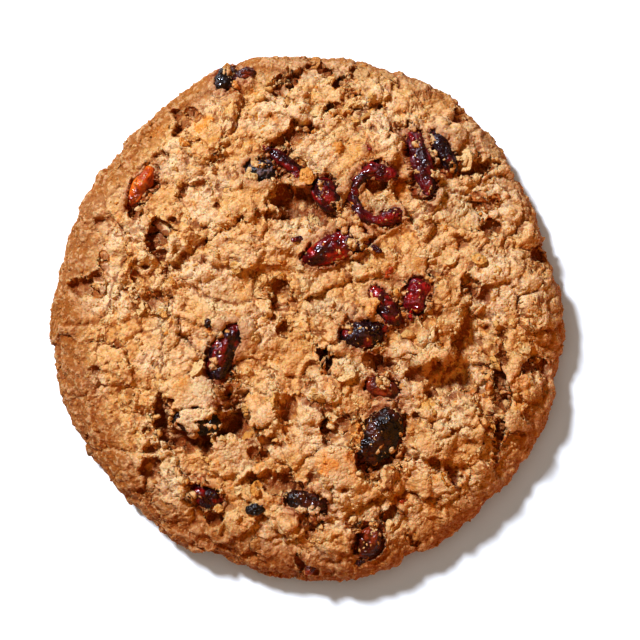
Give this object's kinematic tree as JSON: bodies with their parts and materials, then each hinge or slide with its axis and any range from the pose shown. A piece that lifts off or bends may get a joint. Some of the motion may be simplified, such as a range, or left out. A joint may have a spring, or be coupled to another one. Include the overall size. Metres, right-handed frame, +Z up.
{
  "type": "oatmeal raisin cookie",
  "caption": "Round baked oatmeal cookie: a low craggy dome of golden dough on a flat underside, with raisins and dried cranberries sunk in its top.",
  "frame": {"origin": "centre of the flat underside", "axes": "+Z up out of the domed top; +X to the right and +Y away, seen from above"},
  "size_m": [0.09, 0.0919, 0.0142],
  "materials": {
    "dough": "matt baked crumb",
    "raisin": "wrinkled, satin to glossy",
    "cranberry": "sticky, glossy"
  },
  "bodies": {
    "root": {"dough": "dough", "raisin_top_edge": "raisin", "raisin_floury": "raisin", "raisin_left": "raisin", "raisin_capped": "raisin", "raisin_large": "raisin", "raisin_paired": "raisin", "raisin_sheltered": "raisin", "raisin_south": "raisin", "raisin_low_edge": "raisin", "cranberry_amber": "cranberry", "cranberry_strip": "cranberry", "cranberry_shaded": "cranberry", "cranberry_curled": "cranberry", "cranberry_split": "cranberry", "cranberry_split_half": "cranberry", "cranberry_glossy": "cranberry", "cranberry_square": "cranberry", "cranberry_paired": "cranberry", "cranberry_dull": "cranberry"}
  },
  "joints": []
}
